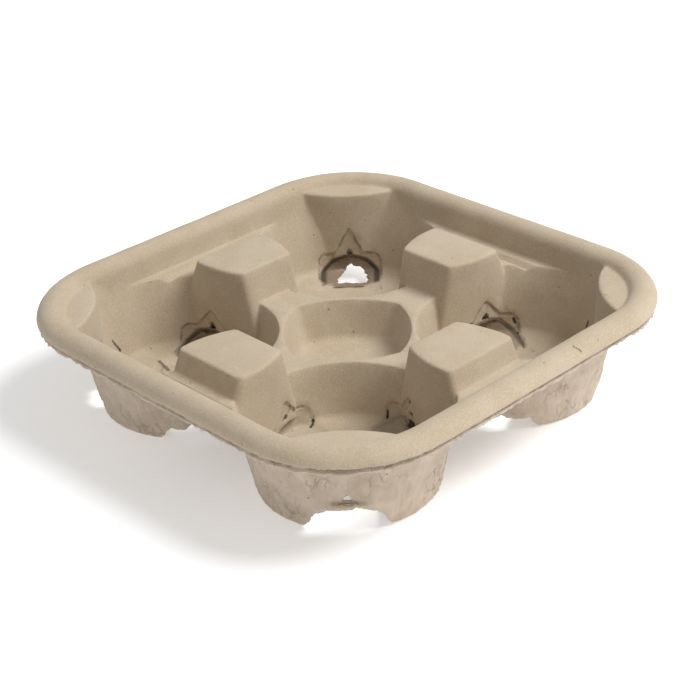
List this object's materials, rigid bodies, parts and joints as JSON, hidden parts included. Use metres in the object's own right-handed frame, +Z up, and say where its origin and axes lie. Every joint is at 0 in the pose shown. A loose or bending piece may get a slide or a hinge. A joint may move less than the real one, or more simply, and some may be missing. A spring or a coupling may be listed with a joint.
{
  "type": "cup carrier",
  "caption": "Moulded paper pulp tray with round cup wells set in a square, a centre basin, towers between the wells and a rolled rim.",
  "frame": {"origin": "middle of the base, on the plane the carrier stands on", "axes": "+Z up, X and Y along the sides of the carrier"},
  "size_m": [0.215, 0.215, 0.05],
  "materials": {
    "pulp": "matt moulded paper pulp, smooth above and rough below"
  },
  "bodies": {
    "root": {"carrier": "pulp"}
  },
  "joints": []
}
